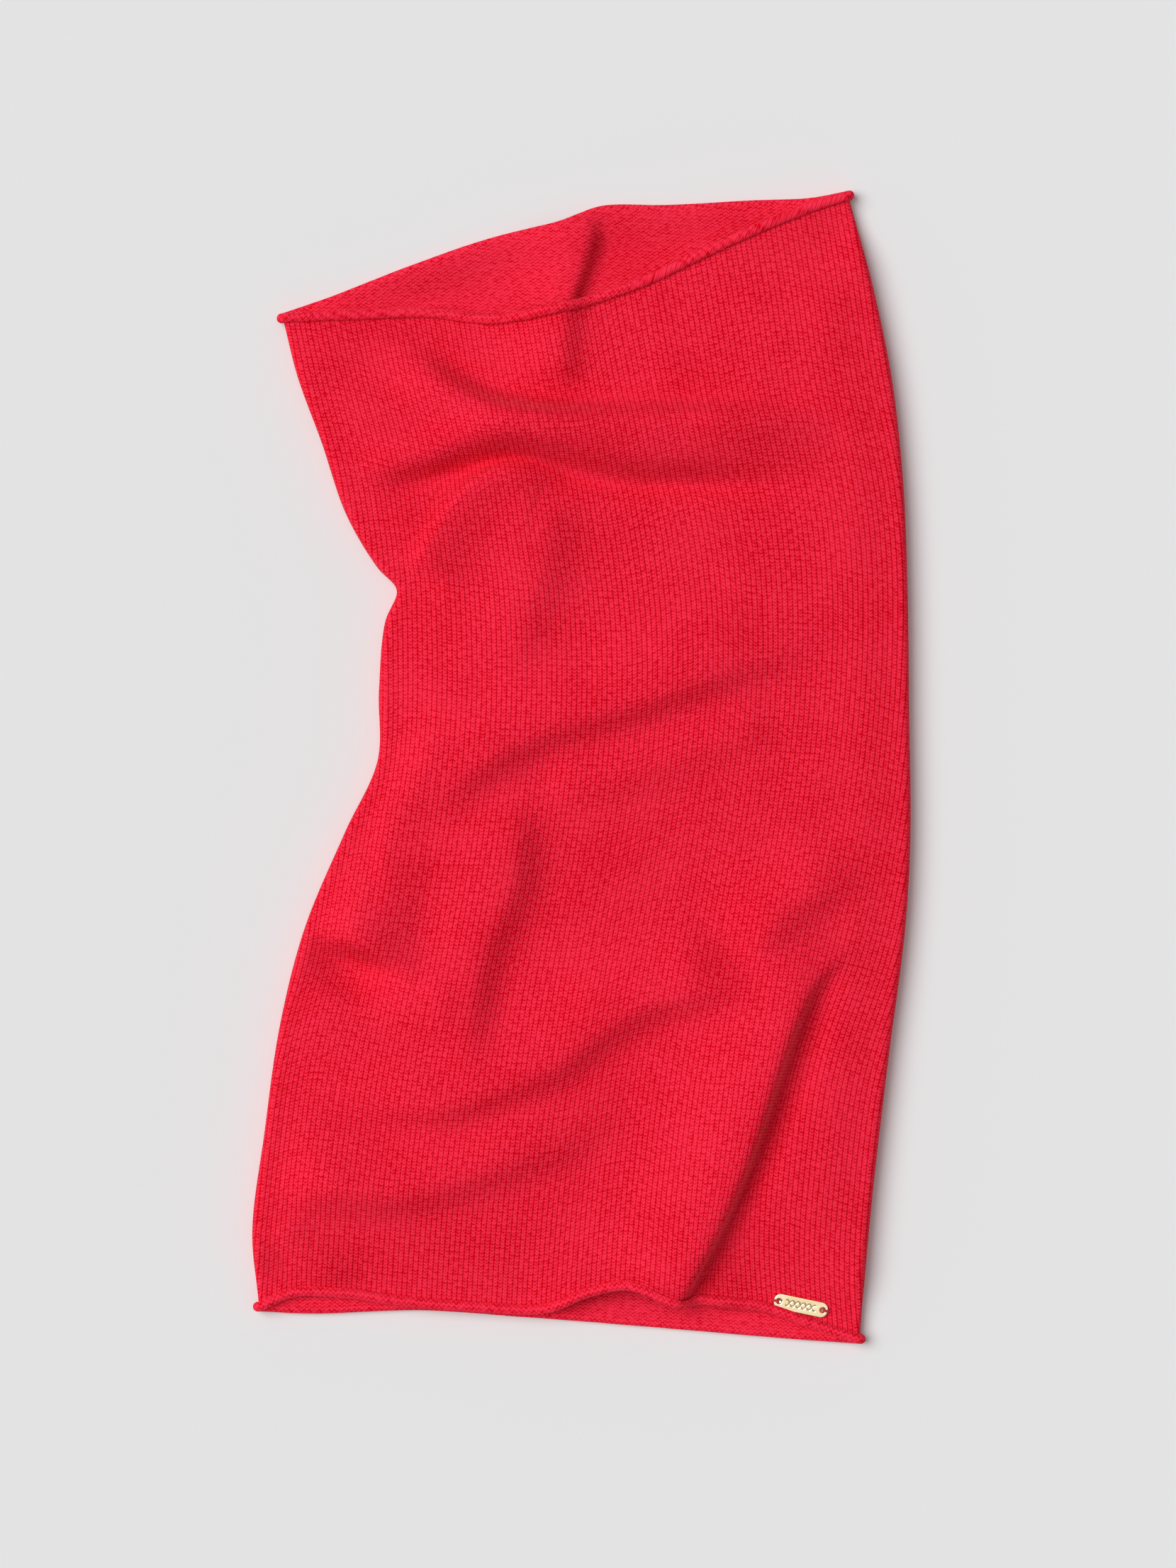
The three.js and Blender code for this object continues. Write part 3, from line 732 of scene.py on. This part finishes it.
def cloth_finish(name, relief, settings):
    """Soft brushed yarn, with painted light on its crowns, painted shade in its grooves, and random
    tone over both.
    """
    finish = Finish.of_material(name)
    wale, course, vector = stitch_place(finish)
    stitch_noise = finish.noise(vector, 0.9, 3.0)
    drift_noise = finish.noise(vector, 0.06, 2.0)
    height = relief(finish, wale, course)
    # Painted shade: the colour goes deeper where the stitch relief is low, in the grooves, and
    # lighter on the crowns. The two noises add random tone.
    shade_and_tone = finish.between(height + 1.3 * (stitch_noise - 0.5), 0.28, 0.92)
    shade_and_tone = shade_and_tone + 0.6 * (drift_noise - 0.5)
    colour = finish.mix(shade_and_tone, settings.shaded_groove_colour, settings.lit_crown_colour)
    fibre = finish.noise(vector, 5.0, 3.0)
    bump = finish.node("ShaderNodeBump", {}, {
        "Height": height + 0.3 * fibre, "Strength": 0.6, "Distance": settings.relief})
    return finish.surface({
        "Base Color": colour, "Roughness": 0.92, "Specular IOR Level": 0.04, "Normal": bump,
        "Sheen Weight": settings.sheen, "Sheen Roughness": 0.16,
        "Sheen Tint": rgba(settings.fuzz_colour)})


def gold_finish(settings):
    """Polished pale gold, with fine rubbing marks and a cloudy change of tone."""
    finish = Finish.of_material("polished_gold")
    place = finish.node("ShaderNodeTexCoord", {}, {}, 3)
    rub = finish.noise(place, 900.0, 4.0)
    cloud = finish.noise(place, 160.0, 2.0)
    colour = finish.mix(finish.between(cloud, 0.3, 0.7), settings.gold_deep, settings.gold)
    bump = finish.node("ShaderNodeBump", {}, {
        "Height": rub, "Strength": 0.1, "Distance": 0.00003})
    return finish.surface({
        "Base Color": colour, "Metallic": 1.0, "Roughness": 0.2 + 0.14 * rub, "Normal": bump})


def thread_finish(settings):
    """Twisted sewing thread with a slight gloss."""
    finish = Finish.of_material("crimson_thread")
    place = finish.node("ShaderNodeTexCoord", {}, {}, 3)
    lint = finish.noise(place, 2500.0, 3.0)
    colour = finish.mix(lint, settings.thread_deep, settings.thread_colour)
    bump = finish.node("ShaderNodeBump", {}, {
        "Height": lint, "Strength": 0.4, "Distance": 0.00005})
    return finish.surface({
        "Base Color": colour, "Roughness": 0.6, "Sheen Weight": 0.2, "Normal": bump})


def floor_finish(settings):
    finish = Finish.of_material("pale_floor")
    return finish.surface({
        "Base Color": rgba(settings.floor_colour), "Roughness": 0.95, "Specular IOR Level": 0.1})


# ---- the plate and its stitches, in mm ----

PLATE_GRID = 0.14  # between the points of the plate's faces
CORNER_STEPS = 14  # round each corner of the plate
HOLE_STEPS = 36  # round each hole
ROUNDING_STEPS = 4  # over the rounding along the edges
PLATE_SEAT = 0.6  # share of the cloth's highest bump under it that the plate is raised by
CORD_SWING = 1.15  # of the engraved cord's two lines, to either side of the middle
CORD_TURN = 4.4  # length of one twist
CORD_LINE = 0.17  # half the width of each line
CORD_DEPTH = 0.16
CORD_MARGIN = 0.4  # kept clear before each hole
CORD_FADE = 0.6  # distance over which the lines reach their depth
TWISTS = 5  # of the thread, in each stitch
PLY_SWING = 0.26  # of a ply round the strand's middle, as a share of the strand
PLY_RADIUS = 0.3
ROUTE_STEPS = 41
STITCH_OVERHANG = 0.35  # how far the thread's middle lies beyond the plate's end
STITCH_LIFT = 0.22  # how far it lies above the plate
STRAND_PINCH = 0.35  # share by which the strands draw together at both ends and halfway
STRAND_ARCH = 0.1  # how much higher the strands lie towards the middle of their row


def plate_half(settings):
    return np.array([settings.length, settings.width]) / 2 / MM


def hole_centre(settings, side):
    return np.array([side * settings.hole_spacing / 2 / MM, 0])


def plate_place(settings, cloth_points):
    """The plate's own frame: over its CAD node, lying along the cloth under it."""
    low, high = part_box("name_plate")
    centre = (low + high) / 2 / MM
    turn = Matrix.Rotation(settings.turn, 3, "Z")
    local = (cloth_points - np.array(centre)) @ np.array(turn)
    under = local[(np.abs(local[:, :2]) < plate_half(settings)).all(1)]
    plan, height = np.c_[under[:, :2], np.ones(len(under))], under[:, 2]
    fit = np.linalg.lstsq(plan, height, rcond=None)[0]
    proud = (height - plan @ fit).max()
    tilt = Euler((math.atan(fit[1]), -math.atan(fit[0]), 0)).to_matrix()
    seat = Vector((centre.x, centre.y, centre.z + fit[2] + PLATE_SEAT * proud))
    return Matrix.Translation(seat) @ (turn @ tilt).to_4x4()


def plate_edge(points, settings):
    """Distance from each plan point to the nearest edge of the plate or its holes, in mm."""
    corner = settings.corner / MM
    beyond = np.abs(points) - (plate_half(settings) - corner)
    outside = np.linalg.norm(np.maximum(beyond, 0), axis=-1)
    edge = corner - outside - np.minimum(beyond.max(-1), 0)
    for side in (-1, 1):
        apart = np.linalg.norm(points - hole_centre(settings, side), axis=-1)
        edge = np.minimum(edge, apart - settings.hole / 2 / MM)
    return edge


def engraving(points, settings):
    """Depth of a plain twisted-cord pattern along the middle of the plate, in mm."""
    x, y = points[:, 0], points[:, 1]
    reach = (settings.hole_spacing / 2 - settings.hole) / MM - CORD_MARGIN
    inside = smooth((reach - np.abs(x)) / CORD_FADE)
    turn = FULL_TURN / CORD_TURN
    swing = CORD_SWING * np.sin(turn * x)
    slope = np.hypot(1, CORD_SWING * turn * np.cos(turn * x))
    groove = 0
    for side in (-1, 1):
        apart = (y - side * swing) / slope
        groove = np.maximum(groove, np.exp(-((apart / CORD_LINE) ** 2)))
    return CORD_DEPTH * inside * groove


def rounded_loop(settings, inset):
    """Points round the plate's outline, some way in from its edge."""
    half = plate_half(settings) - inset
    corner = settings.corner / MM - inset
    loop = []
    for quarter in range(4):
        angles = np.linspace(0, math.pi / 2, CORNER_STEPS + 1) + quarter * math.pi / 2
        sign = np.array([1 if quarter in (0, 3) else -1, 1 if quarter < 2 else -1])
        arc = np.stack([np.cos(angles), np.sin(angles)], 1) * corner
        loop.append(sign * (half - corner) + arc)
    loop = np.concatenate(loop)
    apart = np.linalg.norm(loop - np.roll(loop, 1, 0), axis=1) > 1e-6
    return loop[apart]


def hole_loop(settings, side, inset):
    angles = np.linspace(0, FULL_TURN, HOLE_STEPS + 1)[:-1]
    radius = settings.hole / 2 / MM + inset
    return hole_centre(settings, side) + radius * np.stack([np.cos(angles), np.sin(angles)], 1)


def plate_plan(settings):
    """Points and faces of the plate in plan, with lines of points along its rounded edges."""
    rounding = settings.rounding / MM
    loops = []
    for angle in np.linspace(0, math.pi / 2, ROUNDING_STEPS + 1):
        inset = rounding * (1 - np.cos(angle))
        loops += [rounded_loop(settings, inset)]
        loops += [hole_loop(settings, side, inset) for side in (-1, 1)]
    axes = [np.arange(-half, half, PLATE_GRID) for half in plate_half(settings)]
    field = np.stack(np.meshgrid(*axes), -1).reshape(-1, 2)
    field = field[plate_edge(field, settings) > rounding + PLATE_GRID / 2]
    edges, first = [], 0
    for loop in loops:
        count = len(loop)
        edges += [(first + i, first + (i + 1) % count) for i in range(count)]
        first += count
    flat = [Vector(p) for p in np.concatenate(loops + [field])]
    made = geometry.delaunay_2d_cdt(flat, edges, [], 2, 1e-6)
    return np.array([tuple(v) for v in made[0]]), [tuple(face) for face in made[2]]


def plate_mesh(settings):
    """A closed plate with rounded edges, two holes and an engraved upper face."""
    plan, faces = plate_plan(settings)
    rounding, thickness = settings.rounding / MM, settings.thickness / MM
    depth = np.clip(plate_edge(plan, settings), 0, rounding)
    fall = rounding - np.sqrt(np.maximum(rounding**2 - (rounding - depth) ** 2, 0))
    top = np.c_[plan, thickness - fall - engraving(plan, settings)]
    return closed_plate(top, np.c_[plan, fall], faces)


def closed_plate(top, bottom, faces):
    """Joins an upper and a lower face that share their plan by walls round their edges."""
    count = len(top)
    sides = {}
    for face in faces:
        for a, b in zip(face, face[1:] + face[:1]):
            sides[(a, b)] = sides.get((a, b), 0) + 1
    walls = [(b, a, a + count, b + count) for a, b in sides if (b, a) not in sides]
    under = [tuple(count + i for i in face[::-1]) for face in faces]
    mesh = smooth_mesh("plate", np.concatenate([top, bottom]), faces + under + walls)
    mesh.update()
    return mesh


def tube_quads(rings, sides):
    at = np.arange(rings * sides).reshape(rings, sides)
    turned = np.roll(at, -1, axis=1)
    return np.stack([at[:-1], turned[:-1], turned[1:], at[1:]], -1).reshape(-1, 4).tolist()


def ply_mesh_parts(route, radius, sides=8):
    """Points and faces of a closed round tube along a route."""
    route = np.array(route)
    along = unit(np.gradient(route, axis=0))
    across = unit(np.cross(along, [0.0, 1.0, 0.31]))
    up = np.cross(across, along)
    angles = np.linspace(0, FULL_TURN, sides + 1)[:-1]
    ring = np.stack([np.outer(np.cos(angles), a) + np.outer(np.sin(angles), b)
                     for a, b in zip(across, up)])
    points = (route[:, None] + radius * ring).reshape(-1, 3)
    last = len(points) - sides
    caps = [list(range(sides)), list(range(last, last + sides))[::-1]]
    return points, [face[::-1] for face in tube_quads(len(route), sides)] + caps


def stitch_route(side, offset, settings):
    """Up through a hole, over the plate's end and down into the cloth."""
    inner = settings.hole_spacing / 2 / MM
    outer = settings.length / 2 / MM + STITCH_OVERHANG
    top = settings.thickness / MM + STITCH_LIFT
    corners = [
        (inner - 0.1, -0.9), (inner, 0.55), (inner + 0.3, top - 0.05), (inner + 0.9, top + 0.08),
        (outer - 0.75, top + 0.06), (outer - 0.1, top - 0.25), (outer + 0.15, 0.2),
        (outer + 0.05, -1.0),
    ]
    share = np.linspace(0, 1, len(corners))
    dense = np.linspace(0, 1, ROUTE_STEPS + 1)
    x = np.interp(dense, share, [c[0] for c in corners])
    z = np.interp(dense, share, [c[1] for c in corners])
    soften = np.ones(5) / 5
    x = np.convolve(np.pad(x, 2, "edge"), soften, "valid")
    z = np.convolve(np.pad(z, 2, "edge"), soften, "valid")
    spread = offset * (1 - STRAND_PINCH * np.cos(FULL_TURN * dense) ** 2)
    return np.stack([side * x, spread, z + STRAND_ARCH * (1 - abs(offset))], 1)


def stitch_mesh(name, side, settings):
    """Strands of two-ply thread, side by side."""
    points, faces = [], []
    count = 0
    for strand in range(settings.strands):
        offset = (strand - (settings.strands - 1) / 2) * settings.thread / MM
        route = stitch_route(side, offset, settings)
        turns = np.linspace(0, FULL_TURN * TWISTS, len(route)) + strand
        for ply in (0, math.pi):
            swing = PLY_SWING * settings.thread / MM
            shift = np.stack([
                np.zeros(len(route)), swing * np.cos(turns + ply), swing * np.sin(turns + ply)], 1)
            spots, quads = ply_mesh_parts(route + shift, PLY_RADIUS * settings.thread / MM)
            points.append(spots)
            faces += [[count + i for i in face] for face in quads]
            count += len(spots)
    mesh = smooth_mesh(name, np.concatenate(points), faces)
    mesh.update()
    return mesh


# ---- settings ----


def size_setting(name, description, millimetres):
    return FloatProperty(
        name=name, description=description, default=millimetres * MM, min=0.0,
        precision=5, unit="LENGTH")


def angle_setting(name, description, degrees):
    return FloatProperty(
        name=name, description=description, default=math.radians(degrees), subtype="ANGLE")


def strength_setting(name, description, strength):
    return FloatProperty(name=name, description=description, default=strength, min=0.0)


def colour_setting(name, description, colour):
    return FloatVectorProperty(
        name=name, description=description, default=colour, min=0.0, max=1.0, size=3,
        subtype="COLOR")


class ClothSettings(bpy.types.PropertyGroup):
    thickness: size_setting("Thickness", "Thickness of the knitted cloth", 1.5)
    curl: size_setting("Curl", "Radius of the rolled edges at the middle of the cloth", 1.25)
    curl_turn: angle_setting("Curl turn", "How far the edges roll round", 255)
    wale: size_setting("Wale", "Width of one column of stitches", 1.96)
    course: size_setting("Course", "Height of one row of stitches", 1.3)
    relief: size_setting("Relief", "Depth of the stitches", 0.55)
    sheen: strength_setting("Fuzz", "Weight of the halo of fibres", 0.5)
    # Painted light and shade: the crowns take the lighter colour and the grooves the deeper one,
    # following the stitch relief.
    lit_crown_colour: colour_setting("Crowns", "Colour of the yarn's crowns", (0.97, 0.030, 0.075))
    shaded_groove_colour: colour_setting("Grooves", "Colour between the stitches", (0.66, 0.0003, 0.009))
    fuzz_colour: colour_setting("Fibres", "Tint of the halo of fibres", (0.95, 0.36, 0.38))


class PlateSettings(bpy.types.PropertyGroup):
    length: size_setting("Length", "Length of the plate", 21.5)
    width: size_setting("Width", "Width of the plate", 6.2)
    thickness: size_setting("Thickness", "Thickness of the plate", 1.0)
    corner: size_setting("Corner", "Radius of the plate's corners", 2.8)
    rounding: size_setting("Rounding", "Radius along the plate's edges", 0.28)
    hole: size_setting("Hole", "Diameter of each hole", 2.1)
    hole_spacing: size_setting("Hole spacing", "Distance between the holes", 17.3)
    turn: angle_setting("Turn", "Slant of the plate", -11.7)
    thread: size_setting("Thread", "Diameter of one strand", 0.34)
    strands: IntProperty(name="Strands", description="Strands in each stitch", default=4, min=1)
    gold: colour_setting("Gold", "Colour of the plate", (1.0, 0.84, 0.57))
    gold_deep: colour_setting("Worn gold", "Colour of the plate's duller parts", (0.95, 0.72, 0.40))
    thread_colour: colour_setting("Thread colour", "Colour of the thread", (0.72, 0.03, 0.05))
    thread_deep: colour_setting("Thread shade", "Colour between its plies", (0.42, 0.006, 0.016))


class StageSettings(bpy.types.PropertyGroup):
    floor_colour: colour_setting("Floor", "Colour of the floor", (0.78, 0.78, 0.785))
    distance: size_setting("Distance", "From the camera to the surface", 2200.0)
    view_height: size_setting("View", "Length of floor that the picture takes in", 614.4)
    aim: FloatVectorProperty(
        name="Aim", description="Place on the floor that the camera looks at",
        default=(2.6 * MM, -6.5 * MM), size=2, subtype="XYZ", unit="LENGTH")
    sky: strength_setting("Sky", "Strength of the even light", 0.22)
    horizon: strength_setting("Horizon", "Strength of the even light near the horizon", 0.72)
    overhead: strength_setting("Overhead", "Strength of the soft patch overhead", 1.3)
    key: strength_setting("Key", "Strength of the main light", 2.45)
    key_spread: angle_setting("Key spread", "Size of the main light as seen from the piece", 45)
    key_tilt: FloatVectorProperty(
        name="Key tilt", description="Turn of the main light from straight above",
        default=(math.radians(-9), math.radians(-33), 0.0), subtype="EULER")


class GaiterSettings(bpy.types.PropertyGroup):
    cloth: PointerProperty(type=ClothSettings)
    plate: PointerProperty(type=PlateSettings)
    stage: PointerProperty(type=StageSettings)


# ---- operators ----

FLOOR_HALF = 6.0  # m
HORIZON_BAND = (0.1, 0.35)  # upward share over which the band round the horizon ends
OVERHEAD_PATCH = (0.93, 0.98)  # upward share over which the patch overhead begins


def cloth_materials(settings):
    """The knit and purl finishes, made once."""
    kinds = {"knit_face": knit_relief, "purl_face": purl_relief}
    return [
        bpy.data.materials.get(name) or cloth_finish(name, relief, settings)
        for name, relief in kinds.items()
    ]


def build_cloth(name, points, settings, slot, nodes):
    thickness = settings.thickness / MM
    points, normals = curled(points, settings.curl / MM, settings.curl_turn)
    counts = stitch_counts(points, settings.wale / MM, settings.course / MM)
    mesh = cloth_mesh(name, points, normals, counts, thickness)
    return show(name, mesh, cloth_materials(settings), slot, *nodes)


class GAITER_OT_front_cloth(bpy.types.Operator):
    """Builds the front cloth with both side folds and its rolled edges"""

    bl_idname = "gaiter.front_cloth"
    bl_label = "Front cloth"

    def execute(self, context):
        settings = context.scene.gaiter.cloth
        points = front_grid(settings.thickness / MM)
        piece = build_cloth("front_cloth", points, settings, "knit", (
            "front_panel", "left_side_fold", "right_side_fold", "top_front_roll",
            "low_front_roll"))
        return {"FINISHED"}


class GAITER_OT_back_cloth(bpy.types.Operator):
    """Builds the back cloth, which lies on the floor, with its rolled edges"""

    bl_idname = "gaiter.back_cloth"
    bl_label = "Back cloth"

    def execute(self, context):
        settings = context.scene.gaiter.cloth
        points = back_grid(settings.thickness / MM)
        piece = build_cloth("back_cloth", points, settings, "knit", (
            "back_panel", "top_back_roll", "low_back_roll"))
        return {"FINISHED"}


def seated_plate(settings):
    """The frame of the plate on the front cloth."""
    cloth = bpy.data.objects["front_cloth"].data
    points = np.empty(len(cloth.vertices) * 3, np.float32)
    cloth.vertices.foreach_get("co", points)
    outer = points.reshape(-1, 3)[: len(cloth.vertices) // 2].astype(float) / MM
    place = plate_place(settings, outer)
    place.translation *= MM
    return place


class GAITER_OT_name_plate(bpy.types.Operator):
    """Builds the metal plate with its engraved cord pattern"""

    bl_idname = "gaiter.name_plate"
    bl_label = "Name plate"

    def execute(self, context):
        settings = context.scene.gaiter.plate
        mesh = plate_mesh(settings)
        mesh.transform(seated_plate(settings))
        show("engraved_plate", mesh, [gold_finish(settings)], "gold_plate", "name_plate")
        return {"FINISHED"}


class GAITER_OT_plate_stitches(bpy.types.Operator):
    """Builds the thread stitches that hold the plate at both ends"""

    bl_idname = "gaiter.plate_stitches"
    bl_label = "Plate stitches"

    def execute(self, context):
        settings = context.scene.gaiter.plate
        finish = thread_finish(settings)
        place = seated_plate(settings)
        for name, side in (("left", -1), ("right", 1)):
            mesh = stitch_mesh(f"{name}_strands", side, settings)
            mesh.transform(place)
            show(f"{name}_strands", mesh, [finish], "sewing_thread", f"{name}_plate_stitch")
        return {"FINISHED"}


class GAITER_OT_stage(bpy.types.Operator):
    """Sets the floor, the soft light and the camera"""

    bl_idname = "gaiter.stage"
    bl_label = "Stage"

    def execute(self, context):
        scene, settings = context.scene, context.scene.gaiter.stage
        scene.view_settings.view_transform = "Standard"
        self.add_floor(scene, settings)
        self.add_light(scene, settings)
        self.add_camera(scene, settings)
        return {"FINISHED"}

    def add_floor(self, scene, settings):
        mesh = bpy.data.meshes.new("floor")
        signs = ((-1, -1), (1, -1), (1, 1), (-1, 1))
        corners = [(x * FLOOR_HALF, y * FLOOR_HALF, 0) for x, y in signs]
        mesh.from_pydata(corners, [], [(0, 1, 2, 3)])
        mesh.materials.append(floor_finish(settings))
        floor = bpy.data.objects.new("floor", mesh)
        scene.collection.objects.link(floor)

    def add_light(self, scene, settings):
        scene.world = self.even_light(settings)
        sun = bpy.data.lights.new("key_light", "SUN")
        sun.energy = settings.key
        sun.angle = settings.key_spread
        key = bpy.data.objects.new("key_light", sun)
        key.rotation_euler = settings.key_tilt
        scene.collection.objects.link(key)

    def even_light(self, settings):
        """A pale surround: a soft patch overhead and a low band round the horizon."""
        world = bpy.data.worlds.new("even_light")
        finish = Finish(world)
        place = finish.node("ShaderNodeTexCoord")
        up = finish.node("ShaderNodeSeparateXYZ", {}, {0: place}, 2)
        horizon = (settings.horizon - settings.sky) * (1 - finish.between(up, *HORIZON_BAND))
        overhead = (settings.overhead - settings.sky) * finish.between(up, *OVERHEAD_PATCH)
        light = finish.node("ShaderNodeBackground", {}, {
            "Color": (1.0, 1.0, 1.0, 1.0), "Strength": horizon + overhead + settings.sky})
        finish.node("ShaderNodeOutputWorld", {}, {"Surface": light})
        return world

    def add_camera(self, scene, settings):
        lens = bpy.data.cameras.new("camera")
        lens.sensor_width = 36.0
        lens.lens = lens.sensor_width * settings.distance / settings.view_height
        lens.clip_end = 20.0
        camera = bpy.data.objects.new("camera", lens)
        camera.location = (*settings.aim, settings.distance)
        scene.collection.objects.link(camera)
        scene.camera = camera


class GAITER_PT_panel(bpy.types.Panel):
    """Lists the pieces and their settings"""

    bl_label = "Neck gaiter"
    bl_idname = "GAITER_PT_panel"
    bl_space_type = "VIEW_3D"
    bl_region_type = "UI"
    bl_category = "Gaiter"

    def draw(self, context):
        groups = {
            context.scene.gaiter.cloth: (GAITER_OT_front_cloth, GAITER_OT_back_cloth),
            context.scene.gaiter.plate: (GAITER_OT_name_plate, GAITER_OT_plate_stitches),
            context.scene.gaiter.stage: (GAITER_OT_stage,),
        }
        for settings, operators in groups.items():
            box = self.layout.box()
            for operator in operators:
                box.operator(operator.bl_idname)
            for key in settings.bl_rna.properties.keys():
                if key not in ("rna_type", "name"):
                    box.prop(settings, key)


OPERATORS = (
    GAITER_OT_front_cloth, GAITER_OT_back_cloth, GAITER_OT_name_plate,
    GAITER_OT_plate_stitches, GAITER_OT_stage,
)
CLASSES = (ClothSettings, PlateSettings, StageSettings, GaiterSettings, *OPERATORS, GAITER_PT_panel)


def register():
    for cls in CLASSES:
        bpy.utils.register_class(cls)
    bpy.types.Scene.gaiter = PointerProperty(type=GaiterSettings)


def unregister():
    del bpy.types.Scene.gaiter
    for cls in reversed(CLASSES):
        bpy.utils.unregister_class(cls)


def main():
    register()
    for operator in OPERATORS:
        group, name = operator.bl_idname.split(".")
        getattr(getattr(bpy.ops, group), name)()


if __name__ == "__main__":
    main()
